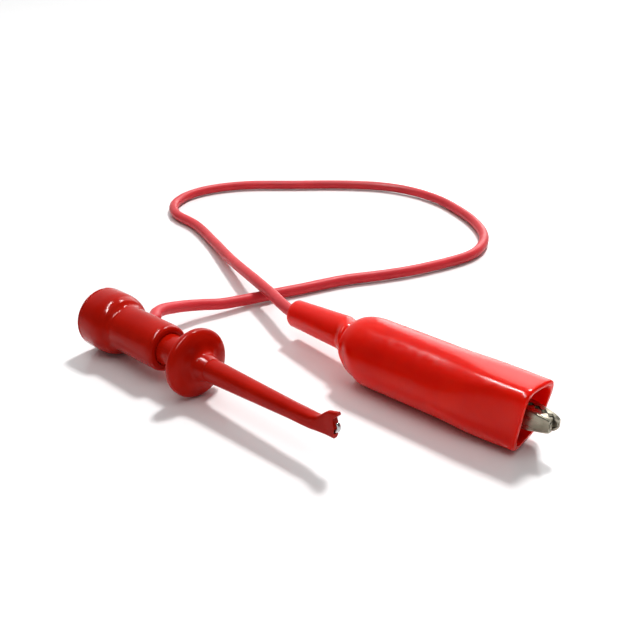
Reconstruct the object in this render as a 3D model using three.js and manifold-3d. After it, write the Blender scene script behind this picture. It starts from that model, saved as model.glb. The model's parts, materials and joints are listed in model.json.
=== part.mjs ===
// Test lead: a plunger mini-hook on one end of a flexible cord and a small alligator clip in a soft
// boot on the other. Millimetres, +Z up. The boot lies along X with the clip's jaws towards +X.
// The origin is on the surface that the lead lies on, under the middle of the hook and the clip.
import * as THREE from 'three';
import { mergeVertices } from 'three/addons/utils/BufferGeometryUtils.js';
import Module from 'manifold-3d';

const wasm = await Module();
wasm.setup();

// ---- driving dimensions -------------------------------------------------------------------------
const GAP = 0.3; // clearance between pieces that touch in the real lead
const SIDES = 36; // facets round a turned piece

// places and directions of the two ends
const HOOK_AT = new THREE.Vector3(-11.41, -11.129, 5.772); // front face of the finger flange, on the axis
const HOOK_YAW = THREE.MathUtils.degToRad(-1.6);
const HOOK_TILT = 0.0139; // radians, nose up: the hook rests on its flange and on its narrower knob
const CLIP_AT = new THREE.Vector3(35.24, 11, 5.75); // between the jaws, level with the boot's mouth

// mini-hook, measured along its own axis from the flange's front face, nose positive
const KNOB_RADIUS = 5.4;
const KNOB_REAR = -27.6;
const KNOB_FRONT = -20.8;
const KNOB_ROUND = 1.1;
const CAP_THICK = 1;
const BARREL_RADIUS = 4;
const BARREL_FRONT = -8.2;
const BORE_RADIUS = 3;
const PORT_X = -19.4; // cord's way out through the side of the barrel
const PORT_RADIUS = 1.45;
const SPIGOT_FRONT = -23.6;
const FLANGE_RADIUS = 5.75;
const FLANGE_THICK = 2.8;
const GUIDE_RADIUS = BORE_RADIUS - GAP;
const GUIDE_SHOULDER = -10.2; // front seat of the plunger spring
const GUIDE_END = -12.2;
const GUIDE_END_RADIUS = 1.4;
const NOSE_LENGTH = 29.4;
const NOSE_BASE_RADIUS = 1.95;
const NOSE_TIP_RADIUS = 1.25;
const TAIL_START = 26.6; // where the nose begins to flare into a fish tail
const TAIL_RISE = 2.75; // height of the fish tail's upper prong, and depth of its lower one
const TAIL_FALL = 1.35;
const HOOK_WIRE_RADIUS = 0.28;
const HOOK_WIRE_REAR = -23;
const NOSE_BORE_RADIUS = 0.6;
const FERRULE_RADIUS = 0.85;
const SEAT_RADIUS = 2.5;
const SEAT_FRONT = -17.6; // rear seat of the plunger spring
const SEAT_THICK = 0.6;
const SPRING_WIRE_RADIUS = 0.18;
const SPRING_RADIUS = 2;
const SPRING_TURNS = 4;

// cord
const CORD_RADIUS = 1.1;
const CONDUCTOR_RADIUS = 0.55;
const CORD_STEPS = 76;
const CORD_ROUTE = [
  [-30.74, -7.99, 5.65],
  [-30.67, -5.39, 5.65],
  [-32.4, -3.6, 5.50],
  [-33.6, -1.2, 5.10],
  [-34.2, 1.6, 4.40],
  [-34.4, 4.8, 3.60],
  [-33.9, 8.4, 2.80],
  [-32.8, 12.0, 2.10],
  [-31.6, 17.1, 1.60],
  [-30.3, 22.3, 1.30],
  [-28.0, 28.7, 1.20],
  [-24.5, 38.2, 1.20],
  [-20.3, 45.7, 1.20],
  [-16.9, 53.2, 1.20],
  [-13.6, 66.2, 1.20],
  [-14.7, 72.7, 1.20],
  [-18.2, 79.0, 1.20],
  [-24.1, 84.6, 1.20],
  [-31.8, 89.2, 1.20],
  [-40.6, 92.8, 1.20],
  [-49.4, 93.9, 1.20],
  [-57.6, 92.2, 1.20],
  [-66.4, 86.6, 1.20],
  [-76.4, 77.2, 1.20],
  [-85.8, 67.9, 1.20],
  [-89.7, 60.0, 1.20],
  [-90.2, 52.6, 1.20],
  [-87.2, 45.6, 1.20],
  [-81.4, 41.2, 1.20],
  [-71.7, 39.2, 1.20],
  [-61.2, 34.9, 1.30],
  [-47.0, 27.9, 2.40],
  [-33.3, 21.5, 3.95],
  [-25.0, 18.1, 4.35],
  [-19.2, 15.5, 4.65],
  [-15.9, 14.35, 4.85],
  [-11.8, 13.8, 5.25],
  [-6.8, 13.05, 5.70],
  [-2.3, 12.2, 6.00],
  [-0.16, 11.3, 5.80],
];

// boot, measured from its mouth, mouth end positive
const BOOT_RADIUS = 5.75;
const BOOT_WALL = 0.9;
const MOUTH_HALF_WIDTH = 4.9;
const MOUTH_HALF_HEIGHT = 5.6;
const MOUTH_BLEND = 12; // length over which the round body becomes the boxy mouth
const MOUTH_SLANT = 0.05; // how far the mouth's +Y side is cut back, per millimetre
const SHOULDER_START = -31.8;
const NECK_START = -36.2;
const BOOT_END = -51.4;
const NECK_OUTER = 2.95;
const TAIL_OUTER = 2.45;
const TAIL_INNER = 1.6;
const TAIL_BEND_START = -33.5; // the tail steps aside, then swings towards +Y and droops behind here
const TAIL_STEP = 1.3;
const TAIL_LIFT = 0.45;
const TAIL_SWING = 0.143;
const TAIL_DROP = 0.09;

// alligator clip, measured from the boot's mouth
const SHEET = 0.5;
const JAW_TIP = 3.9;
const PIVOT_X = -15;
const HANDLE_END = -30.5;
const TOOTH_PITCH = 1.1;
const TOOTH_DEPTH = 0.55;
const TOOTH_COUNT = 8;
const LOBE_RADIUS = 1.7;
const PIN_RADIUS = 0.6;
const PIN_HEAD_RADIUS = 1.15;
const PIN_HEAD_THICK = 0.4;
const FIXED_LUG_HALF = 2.45; // half the height of the outer jaw across the pivot
const MOVING_LUG_HALF = 1.65;
const CRIMP_FRONT = -32.3;
const CRIMP_REAR = -34.9;
const CRIMP_OUTER = 1.45;
const CRIMP_INNER = 0.9;
const COIL_RADIUS = 1.35;
const COIL_TURNS = 3;
const COIL_PITCH = 0.5;
const ARM_END_X = -25.5;

// ---- materials ----------------------------------------------------------------------------------
const paint = (color, roughness, metalness) =>
  new THREE.MeshStandardMaterial({ color, roughness, metalness });
const hardRed = () => paint(0xa81408, 0.25, 0);
const softRed = () => paint(0xe01408, 0.3, 0);
const cordRed = () => paint(0xbe2830, 0.45, 0);
const nickel = () => paint(0xb9b8ae, 0.3, 1);
const brass = () => paint(0xb08d4a, 0.35, 1);
const copper = () => paint(0xb87346, 0.4, 1);
const steel = () => paint(0x8d8f92, 0.3, 1);

// ---- geometry helpers ---------------------------------------------------------------------------
// Merges shared corners, drops collapsed triangles and turns the faces outwards.
function closed(geometry) {
  const bare = geometry.clone();
  bare.deleteAttribute('normal');
  bare.deleteAttribute('uv');
  const merged = mergeVertices(bare, 1e-4);
  const position = merged.getAttribute('position');
  const corners = merged.getIndex().array;
  const kept = [];
  const a = new THREE.Vector3();
  const b = new THREE.Vector3();
  const c = new THREE.Vector3();
  let volume = 0;
  for (let i = 0; i < corners.length; i += 3) {
    const [p, q, r] = [corners[i], corners[i + 1], corners[i + 2]];
    if (p === q || q === r || r === p) continue;
    kept.push([p, q, r]);
    a.fromBufferAttribute(position, p);
    b.fromBufferAttribute(position, q);
    c.fromBufferAttribute(position, r);
    volume += a.dot(b.cross(c));
  }
  const order = volume < 0 ? kept.map(([p, q, r]) => [p, r, q]) : kept;
  const result = new THREE.BufferGeometry();
  result.setAttribute('position', position);
  result.setIndex(order.flat());
  return result;
}

function solid(geometry) {
  const shape = closed(geometry);
  return new wasm.Manifold(new wasm.Mesh({
    numProp: 3,
    vertProperties: new Float32Array(shape.getAttribute('position').array),
    triVerts: new Uint32Array(shape.getIndex().array),
  }));
}

function fromSolid(body) {
  const mesh = body.getMesh();
  const geometry = new THREE.BufferGeometry();
  geometry.setAttribute('position', new THREE.BufferAttribute(mesh.vertProperties, 3));
  geometry.setIndex(new THREE.BufferAttribute(mesh.triVerts, 1));
  return geometry;
}

// Turns an outline of [along, radius] pairs about the X axis.
function turned(outline, sides = SIDES) {
  const points = outline.map(([along, radius]) => new THREE.Vector2(radius, along));
  points.push(points[0].clone());
  const geometry = new THREE.LatheGeometry(points, sides);
  geometry.rotateZ(-Math.PI / 2);
  return closed(geometry);
}

// Points of a round from one angle to another, in degrees, about a centre [along, radius].
function round(along, radius, size, from, to, steps = 3) {
  const points = [];
  for (let i = 0; i <= steps; i += 1) {
    const angle = THREE.MathUtils.degToRad(from + ((to - from) * i) / steps);
    points.push([along + size * Math.cos(angle), radius + size * Math.sin(angle)]);
  }
  return points;
}

// A round bar from one x to another, pointing along X.
const bar = (from, to, radius, sides = 20) =>
  turned([[from, 0], [from, radius], [to, radius], [to, 0]], sides);

// A flat outline of [x, y] pairs extruded along Z, centred.
function plate(outline, height) {
  const shape = new THREE.Shape(outline.map(([x, y]) => new THREE.Vector2(x, y)));
  const geometry = new THREE.ExtrudeGeometry(shape, { depth: height, bevelEnabled: false });
  geometry.translate(0, 0, -height / 2);
  return geometry;
}

// A flat outline of [x, z] pairs extruded along Y, centred.
function sidePlate(outline, width) {
  const geometry = plate(outline, width);
  geometry.rotateX(Math.PI / 2);
  return geometry;
}

// A round wire along a curve.
function wire(curve, radius, steps, sides = 6) {
  const section = new THREE.Shape();
  for (let i = 0; i < sides; i += 1) {
    const angle = (2 * Math.PI * i) / sides;
    const [x, y] = [radius * Math.cos(angle), radius * Math.sin(angle)];
    if (i === 0) section.moveTo(x, y);
    else section.lineTo(x, y);
  }
  section.closePath();
  return closed(new THREE.ExtrudeGeometry(section, { steps, extrudePath: curve, bevelEnabled: false }));
}

function moved(geometry, x, y, z) {
  geometry.translate(x, y, z);
  return geometry;
}

const lead = new THREE.Group();

function place(group, name, geometry, material) {
  const mesh = new THREE.Mesh(closed(geometry), material);
  mesh.name = name;
  group.add(mesh);
}

// ---- mini-hook ----------------------------------------------------------------------------------
// Thumb knob and barrel in one moulding, bored through, with the cord's port in the barrel's side.
function plungerShell() {
  const rear = KNOB_REAR + CAP_THICK + GAP;
  const body = turned([
    [rear, BORE_RADIUS],
    [rear, KNOB_RADIUS - 0.25],
    [rear + 0.25, KNOB_RADIUS],
    ...round(KNOB_FRONT - KNOB_ROUND, KNOB_RADIUS - KNOB_ROUND, KNOB_ROUND, 90, 0),
    [KNOB_FRONT, BARREL_RADIUS + 0.4],
    [KNOB_FRONT + 0.4, BARREL_RADIUS],
    ...round(BARREL_FRONT - 0.5, BARREL_RADIUS - 0.5, 0.5, 90, 0),
    [BARREL_FRONT, BORE_RADIUS],
  ]);
  const port = new THREE.CylinderGeometry(PORT_RADIUS, PORT_RADIUS, 6, 24);
  port.translate(PORT_X, BORE_RADIUS + 1, 0);
  return fromSolid(solid(body).subtract(solid(port)));
}

// Rear cap of the knob: the thumb face, and a spigot with a socket that holds the ferrule.
function plungerCap() {
  const face = KNOB_REAR + CAP_THICK;
  const spigot = BORE_RADIUS - GAP;
  const socket = FERRULE_RADIUS + GAP;
  return turned([
    [KNOB_REAR, 0],
    ...round(KNOB_REAR + 0.8, KNOB_RADIUS - 0.8, 0.8, 180, 90),
    [face, KNOB_RADIUS],
    [face, spigot],
    [SPIGOT_FRONT, spigot],
    [SPIGOT_FRONT, socket],
    [KNOB_REAR + 2, socket],
    [KNOB_REAR + 2, 0],
  ]);
}

// Guide tube, finger flange, tapering nose and fish tail in one moulding, bored for the hook wire.
function noseBody() {
  const half = FLANGE_THICK / 2;
  const tube = turned([
    [GUIDE_END, NOSE_BORE_RADIUS],
    [GUIDE_END, GUIDE_END_RADIUS],
    [GUIDE_SHOULDER, GUIDE_END_RADIUS],
    [GUIDE_SHOULDER, GUIDE_RADIUS],
    [-FLANGE_THICK, GUIDE_RADIUS],
    ...round(-half, FLANGE_RADIUS - half, half, 180, 0, 8),
    [0.9, NOSE_BASE_RADIUS + 0.4],
    [1.3, NOSE_BASE_RADIUS],
    [TAIL_START, NOSE_TIP_RADIUS],
    [NOSE_LENGTH - 1.6, NOSE_TIP_RADIUS],
    [NOSE_LENGTH - 1.6, NOSE_BORE_RADIUS],
  ]);
  const tail = sidePlate([
    [TAIL_START - 1.5, -1],
    [NOSE_LENGTH, -TAIL_FALL],
    [NOSE_LENGTH, -0.8],
    [NOSE_LENGTH - 1.7, -0.65],
    [NOSE_LENGTH - 1.7, 0.65],
    [NOSE_LENGTH, 2.1],
    [NOSE_LENGTH, TAIL_RISE - 0.2],
    [NOSE_LENGTH - 0.2, TAIL_RISE],
    [NOSE_LENGTH - 1.2, TAIL_RISE],
    [TAIL_START + 0.7, 1.5],
    [TAIL_START - 0.6, 1],
  ], 2 * NOSE_TIP_RADIUS);
  const notch = sidePlate([
    [NOSE_LENGTH - 1.7, -0.65],
    [NOSE_LENGTH + 1, -0.9],
    [NOSE_LENGTH + 1, 2.9],
    [NOSE_LENGTH - 1.7, 0.65],
  ], 4);
  const bore = bar(TAIL_START - 3, NOSE_LENGTH, NOSE_BORE_RADIUS);
  return fromSolid(solid(tube).add(solid(tail)).subtract(solid(bore)).subtract(solid(notch)));
}

// The hook: a straight wire whose end turns up to catch a component lead.
function hookWire() {
  const bend = 0.5;
  const bendAt = NOSE_LENGTH - 0.95;
  const turn = [];
  for (let i = 0; i <= 8; i += 1) {
    const angle = THREE.MathUtils.degToRad((125 * i) / 8);
    turn.push(new THREE.Vector3(bendAt + bend * Math.sin(angle), 0, bend * (1 - Math.cos(angle))));
  }
  const corners = [new THREE.Vector3(HOOK_WIRE_REAR, 0, 0), new THREE.Vector3(0, 0, 0), ...turn];
  return wirePolyline(corners, HOOK_WIRE_RADIUS, 8);
}

// A wire with exactly one ring at each corner of a polyline that stays in the XZ plane.
function wirePolyline(corners, radius, sides) {
  const positions = [];
  const index = [];
  corners.forEach((corner, i) => {
    const before = corners[Math.max(i - 1, 0)];
    const after = corners[Math.min(i + 1, corners.length - 1)];
    const along = after.clone().sub(before).normalize();
    const across = new THREE.Vector3(0, 1, 0);
    const up = along.clone().cross(across).normalize();
    for (let k = 0; k < sides; k += 1) {
      const angle = (2 * Math.PI * k) / sides;
      const point = corner.clone()
        .addScaledVector(across, radius * Math.cos(angle))
        .addScaledVector(up, radius * Math.sin(angle));
      positions.push(point.x, point.y, point.z);
    }
  });
  const last = (corners.length - 1) * sides;
  for (let i = 0; i < corners.length - 1; i += 1) {
    for (let k = 0; k < sides; k += 1) {
      const [p, q] = [i * sides + k, i * sides + ((k + 1) % sides)];
      index.push(p, q, p + sides, q, q + sides, p + sides);
    }
  }
  for (let k = 1; k < sides - 1; k += 1) {
    index.push(0, k + 1, k);
    index.push(last, last + k, last + k + 1);
  }
  const geometry = new THREE.BufferGeometry();
  geometry.setAttribute('position', new THREE.Float32BufferAttribute(positions, 3));
  geometry.setIndex(index);
  return geometry;
}

// Ferrule on the hook wire: held in the cap's socket, with a flange that the spring pushes on.
function hookFerrule() {
  const hole = HOOK_WIRE_RADIUS + GAP;
  return turned([
    [KNOB_REAR + 2 + GAP, 0],
    [KNOB_REAR + 2 + GAP, FERRULE_RADIUS],
    [SEAT_FRONT - SEAT_THICK, FERRULE_RADIUS],
    [SEAT_FRONT - SEAT_THICK, SEAT_RADIUS],
    [SEAT_FRONT, SEAT_RADIUS],
    [SEAT_FRONT, hole],
    [HOOK_WIRE_REAR - GAP, hole],
    [HOOK_WIRE_REAR - GAP, 0],
  ], 24);
}

// Points of a helix about X.
function helixPoints(from, to, radius, turns, perTurn) {
  const points = [];
  const count = Math.round(turns * perTurn);
  for (let i = 0; i <= count; i += 1) {
    const angle = (2 * Math.PI * turns * i) / count;
    const x = from + ((to - from) * i) / count;
    points.push(new THREE.Vector3(x, radius * Math.cos(angle), radius * Math.sin(angle)));
  }
  return points;
}

function plungerSpring() {
  const inset = GAP + SPRING_WIRE_RADIUS + 0.05;
  const points = helixPoints(SEAT_FRONT + inset, GUIDE_SHOULDER - inset, SPRING_RADIUS, SPRING_TURNS, 12);
  return wire(new THREE.CatmullRomCurve3(points), SPRING_WIRE_RADIUS, SPRING_TURNS * 12);
}

// Stripped end of the cord, soldered to the ferrule's side.
function hookEndConductor() {
  const from = FERRULE_RADIUS + GAP;
  const to = 2.3;
  const stub = new THREE.CylinderGeometry(CONDUCTOR_RADIUS, CONDUCTOR_RADIUS, to - from, 12);
  return moved(stub, PORT_X, (from + to) / 2, 0);
}

const hook = new THREE.Group();
hook.position.copy(HOOK_AT);
hook.rotation.set(0, -HOOK_TILT, HOOK_YAW, 'ZYX');
lead.add(hook);
place(hook, 'plunger_shell', plungerShell(), hardRed());
place(hook, 'plunger_cap', plungerCap(), hardRed());
place(hook, 'nose_body', noseBody(), hardRed());
place(hook, 'hook_wire', hookWire(), steel());
place(hook, 'hook_ferrule', hookFerrule(), brass());
place(hook, 'plunger_spring', plungerSpring(), steel());
place(hook, 'hook_end_conductor', hookEndConductor(), copper());

// ---- cord ---------------------------------------------------------------------------------------
const route = new THREE.CatmullRomCurve3(
  CORD_ROUTE.map(([x, y, z]) => new THREE.Vector3(x, y, z)), false, 'centripetal');
route.arcLengthDivisions = 2000;
place(lead, 'lead_cord', wire(route, CORD_RADIUS, CORD_STEPS, 8), cordRed());

// ---- alligator clip -----------------------------------------------------------------------------
// Distance of a jaw's back from the parting plane, as [x, distance] pairs from the tip to the rear.
const BACK = [[JAW_TIP, 1.1], [0, 1.55], [-7, 2.5], [-13, 3.2], [-22, 3.9], [HANDLE_END, 4.1]];

// Plan outline of a jaw on the +Y side: back, open rear, handle edge, pivot lobe and teeth.
function jawPlan() {
  const outline = BACK.map(([x, y]) => [x, y]);
  outline.push([HANDLE_END, 2.6], [PIVOT_X - 5, 2.2], [PIVOT_X - LOBE_RADIUS - 0.4, 0.9]);
  for (let i = 0; i <= 8; i += 1) {
    const angle = Math.PI + (Math.PI * i) / 8;
    outline.push([PIVOT_X + LOBE_RADIUS * Math.cos(angle), LOBE_RADIUS * Math.sin(angle)]);
  }
  outline.push([PIVOT_X + LOBE_RADIUS + 0.4, 0.5]);
  const edge = GAP / 2;
  const toothed = JAW_TIP - TOOTH_COUNT * TOOTH_PITCH;
  outline.push([toothed - 0.5, 0.5]);
  for (let i = TOOTH_COUNT; i > 0; i -= 1) {
    const x = JAW_TIP - i * TOOTH_PITCH;
    outline.push([x, edge + TOOTH_DEPTH], [x + TOOTH_PITCH / 2, edge]);
  }
  outline.push([JAW_TIP, edge + TOOTH_DEPTH / 2]);
  return outline;
}

// A bent-sheet channel: plan outline and side outline together, hollowed from the parting side.
function jawChannel(lugHalf, handleHalf) {
  const halves = [
    [JAW_TIP, 1.1], [0, 1.75], [PIVOT_X + 3, lugHalf], [PIVOT_X - 3, lugHalf], [HANDLE_END, handleHalf],
  ];
  const side = (inset) => [
    ...halves.map(([x, z]) => [x, z - inset]),
    ...halves.toReversed().map(([x, z]) => [x, inset - z]),
  ];
  const hollowPlan = [
    [JAW_TIP - SHEET, -6],
    ...BACK.map(([x, y], i) => [i === 0 ? x - SHEET : x, y - SHEET]),
    [HANDLE_END - 2, BACK.at(-1)[1] - SHEET],
    [HANDLE_END - 2, -6],
  ];
  const hollowSide = side(SHEET);
  hollowSide.splice(halves.length, 0, [HANDLE_END - 2, handleHalf - SHEET], [HANDLE_END - 2, SHEET - handleHalf]);
  const outer = solid(plate(jawPlan(), 12)).intersect(solid(sidePlate(side(0), 20)));
  const hollow = solid(plate(hollowPlan, 12)).intersect(solid(sidePlate(hollowSide, 20)));
  const pinHole = new THREE.CylinderGeometry(PIN_RADIUS + GAP, PIN_RADIUS + GAP, 12, 20);
  pinHole.rotateX(Math.PI / 2);
  pinHole.translate(PIVOT_X, 0, 0);
  return outer.subtract(hollow).subtract(solid(pinHole));
}

// Outer jaw, whose handle runs on into a tongue and a barrel crimped on the conductor.
function fixedJaw() {
  const back = BACK.at(-1)[1];
  const tongue = plate([
    [HANDLE_END + 1, back - SHEET],
    [HANDLE_END, back - SHEET],
    [CRIMP_FRONT, 1.15],
    [CRIMP_REAR, 1.15],
    [CRIMP_REAR, 1.65],
    [CRIMP_FRONT + 0.3, 1.65],
    [HANDLE_END, back],
    [HANDLE_END + 1, back - 0.02],
  ], 2);
  const barrel = turned([
    [CRIMP_REAR, CRIMP_INNER],
    [CRIMP_REAR, CRIMP_OUTER],
    [CRIMP_FRONT, CRIMP_OUTER],
    [CRIMP_FRONT, CRIMP_INNER],
  ], 24);
  const bore = bar(CRIMP_REAR - 1, CRIMP_FRONT + 1, CRIMP_INNER, 24);
  const tail = solid(tongue).add(solid(barrel)).subtract(solid(bore));
  return fromSolid(jawChannel(FIXED_LUG_HALF, 1.7).add(tail));
}

// Inner jaw, mirrored to the -Y side.
function movingJaw() {
  const geometry = fromSolid(jawChannel(MOVING_LUG_HALF, 1.7));
  geometry.scale(1, -1, 1);
  return geometry;
}

function pivotRivet() {
  const head = FIXED_LUG_HALF + GAP;
  const top = head + PIN_HEAD_THICK;
  const geometry = turned([
    [-top, 0],
    [-top, PIN_HEAD_RADIUS * 0.7],
    [-head - 0.15, PIN_HEAD_RADIUS],
    [-head, PIN_HEAD_RADIUS],
    [-head, PIN_RADIUS],
    [head, PIN_RADIUS],
    [head, PIN_HEAD_RADIUS],
    [head + 0.15, PIN_HEAD_RADIUS],
    [top, PIN_HEAD_RADIUS * 0.7],
    [top, 0],
  ], 24);
  geometry.rotateY(Math.PI / 2);
  return moved(geometry, PIVOT_X, 0, 0);
}

// Torsion spring: a coil round the pin and an arm pressing on each handle.
function jawSpring() {
  const half = (COIL_TURNS * COIL_PITCH) / 2;
  const perTurn = 12;
  const count = COIL_TURNS * perTurn;
  const points = [];
  for (let i = 0; i <= count; i += 1) {
    const angle = Math.PI / 2 + (2 * Math.PI * i) / perTurn;
    points.push(new THREE.Vector3(
      PIVOT_X + COIL_RADIUS * Math.cos(angle),
      COIL_RADIUS * Math.sin(angle),
      -half + (2 * half * i) / count));
  }
  const armY = 2.95;
  const start = points[0];
  const end = points.at(-1);
  const lower = [
    new THREE.Vector3(ARM_END_X, armY, start.z),
    new THREE.Vector3((ARM_END_X + PIVOT_X) / 2, (armY + COIL_RADIUS) / 2, start.z),
  ];
  const upper = [
    new THREE.Vector3((ARM_END_X + PIVOT_X) / 2, -(armY + COIL_RADIUS) / 2, end.z),
    new THREE.Vector3(ARM_END_X, -armY, end.z),
  ];
  return wire(new THREE.CatmullRomCurve3([...lower, ...points, ...upper], false, 'centripetal'),
    SPRING_WIRE_RADIUS, 64);
}

const clip = new THREE.Group();
clip.position.copy(CLIP_AT);
lead.add(clip);
place(clip, 'fixed_jaw', fixedJaw(), nickel());
place(clip, 'moving_jaw', movingJaw(), nickel());
place(clip, 'pivot_rivet', pivotRivet(), nickel());
place(clip, 'jaw_spring', jawSpring(), steel());
place(clip, 'clip_end_conductor', bar(CRIMP_REAR - 0.2, CRIMP_FRONT + 0.5, CONDUCTOR_RADIUS, 12), copper());

// ---- boot ---------------------------------------------------------------------------------------
// Bends the turned boot: a boxy slanted mouth in front and a drooping tail behind.
function shapeBoot(geometry) {
  const position = geometry.getAttribute('position');
  for (let i = 0; i < position.count; i += 1) {
    let [x, y, z] = [position.getX(i), position.getY(i), position.getZ(i)];
    const toMouth = THREE.MathUtils.smoothstep(x, -MOUTH_BLEND, 0);
    if (toMouth > 0) {
      const radius = Math.hypot(y, z);
      const [cos, sin] = [y / radius, z / radius];
      const wall = BOOT_RADIUS - radius;
      const [width, height] = [MOUTH_HALF_WIDTH - wall, MOUTH_HALF_HEIGHT - wall];
      const boxy = (Math.abs(cos / width) ** 2.6 + Math.abs(sin / height) ** 2.6) ** (-1 / 2.6);
      const reach = THREE.MathUtils.lerp(radius, boxy, toMouth);
      [y, z] = [reach * cos, reach * sin];
      x -= toMouth * MOUTH_SLANT * (y + MOUTH_HALF_WIDTH / 2);
    }
    const behind = TAIL_BEND_START - x;
    if (behind > 0) {
      const step = THREE.MathUtils.smoothstep(behind, 0, 4);
      const reach = Math.max(behind - 3, 0);
      y += TAIL_STEP * step + TAIL_SWING * reach;
      z += TAIL_LIFT * step - TAIL_DROP * reach;
    }
    position.setXYZ(i, x, y, z);
  }
  return geometry;
}

// Soft sleeve over the clip: round body, rounded shoulder, creased neck and a tube for the cord.
function boot() {
  const inner = BOOT_RADIUS - BOOT_WALL;
  return shapeBoot(turned([
    [0, BOOT_RADIUS - 0.3],
    [-0.3, BOOT_RADIUS],
    [-4, BOOT_RADIUS],
    [-8, BOOT_RADIUS],
    [-MOUTH_BLEND, BOOT_RADIUS],
    [-24, BOOT_RADIUS],
    ...round(SHOULDER_START, BOOT_RADIUS - 3.4, 3.4, 90, 165, 5),
    [NECK_START, NECK_OUTER],
    [NECK_START - 1, NECK_OUTER],
    [NECK_START - 3, NECK_OUTER - 0.1],
    [BOOT_END + 0.3, TAIL_OUTER],
    [BOOT_END, TAIL_OUTER - 0.3],
    [BOOT_END, TAIL_INNER],
    [NECK_START - 3, TAIL_INNER + 0.2],
    [NECK_START - 1, TAIL_INNER + 0.25],
    [NECK_START, TAIL_INNER + 0.3],
    ...round(SHOULDER_START, inner - 2.8, 2.8, 165, 90, 5),
    [-24, inner],
    [-MOUTH_BLEND, inner],
    [-8, inner],
    [-4, inner],
    [0, inner],
  ], 40));
}

place(clip, 'boot', boot(), softRed());

export default lead;
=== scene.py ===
# A test lead lying on a pale table: a plunger mini-hook, an alligator clip in a soft boot, and the
# cord between them. The pieces of each end are drawn in millimetres along X and then set in the
# frame, which is in metres. The cord is drawn in the frame itself.
import json
import math

import bmesh
import bpy
from mathutils import Matrix, Vector


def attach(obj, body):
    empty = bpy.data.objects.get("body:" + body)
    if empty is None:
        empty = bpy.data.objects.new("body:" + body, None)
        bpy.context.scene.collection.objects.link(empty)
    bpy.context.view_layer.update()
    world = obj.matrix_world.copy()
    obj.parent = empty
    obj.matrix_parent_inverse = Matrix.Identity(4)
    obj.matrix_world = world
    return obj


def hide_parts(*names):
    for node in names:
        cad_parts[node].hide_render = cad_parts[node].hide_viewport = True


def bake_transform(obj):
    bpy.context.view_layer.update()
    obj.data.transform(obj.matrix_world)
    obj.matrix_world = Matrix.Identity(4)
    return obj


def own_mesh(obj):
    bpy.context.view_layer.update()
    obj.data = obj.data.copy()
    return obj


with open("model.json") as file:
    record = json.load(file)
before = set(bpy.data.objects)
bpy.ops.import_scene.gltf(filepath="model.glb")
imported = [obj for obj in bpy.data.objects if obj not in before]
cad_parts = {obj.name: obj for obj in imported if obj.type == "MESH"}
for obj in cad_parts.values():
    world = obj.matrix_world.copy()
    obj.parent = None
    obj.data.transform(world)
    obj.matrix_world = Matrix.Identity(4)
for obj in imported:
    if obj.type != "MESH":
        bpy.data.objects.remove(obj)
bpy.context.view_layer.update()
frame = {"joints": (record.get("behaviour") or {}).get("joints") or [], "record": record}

MM = 0.001

# ---- camera --------------------------------------------------------------------------------------
CAMERA_AT = (0.0921, -0.0959, 0.0771)
CAMERA_HEADING = 0.744  # radians from +Y towards -X
CAMERA_PITCH = 0.446  # radians below level
CAMERA_LENS = 53.4


def make_camera():
    data = bpy.data.cameras.new("camera")
    data.lens = CAMERA_LENS
    data.clip_start = 0.005
    camera = bpy.data.objects.new("camera", data)
    camera.location = CAMERA_AT
    camera.rotation_euler = (math.pi / 2 - CAMERA_PITCH, 0, CAMERA_HEADING)
    bpy.context.collection.objects.link(camera)
    bpy.context.scene.camera = camera


make_camera()

# ---- materials -----------------------------------------------------------------------------------
# The lead is small, so texture sizes are given in millimetres and turned into noise scales.
NOISE_LOW, NOISE_HIGH = 0.3, 0.7  # between these lie nearly all values of a noise texture
SCATTER = (1, 0.12, 0.08)  # how far red, green and blue travel under a red skin


def noise_scale(size_mm):
    return 1 / (size_mm * MM)


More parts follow.
